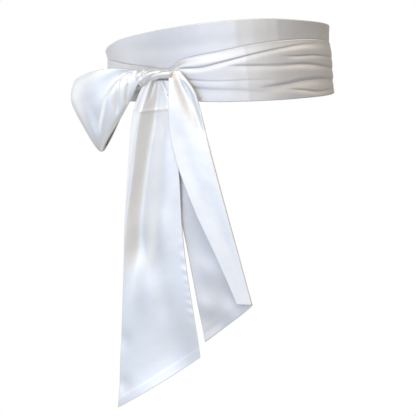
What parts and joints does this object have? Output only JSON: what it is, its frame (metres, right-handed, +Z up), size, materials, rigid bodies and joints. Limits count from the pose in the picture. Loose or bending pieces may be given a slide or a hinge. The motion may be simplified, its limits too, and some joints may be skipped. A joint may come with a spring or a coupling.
{
  "type": "tied satin waist sash",
  "caption": "Wide satin sash wound round the waist and tied in front in a half bow, with a drooping loop and long slant-cut ends; keeps the hollow form of the waist it was worn on.",
  "frame": {"origin": "on the axis of the waist, level with the middle of the band", "axes": "+Z up along the waist's axis, -Y to the front where the knot is, +X to the wearer's left"},
  "size_m": [0.2766, 0.247, 0.4252],
  "materials": {
    "satin": "ivory-white polyester satin with a soft sheen"
  },
  "bodies": {
    "root": {"wrap_under": "satin", "wrap_over_right": "satin", "wrap_over_left": "satin", "knot": "satin", "bow_loop": "satin", "tail_long": "satin", "tail_short": "satin"}
  },
  "joints": []
}
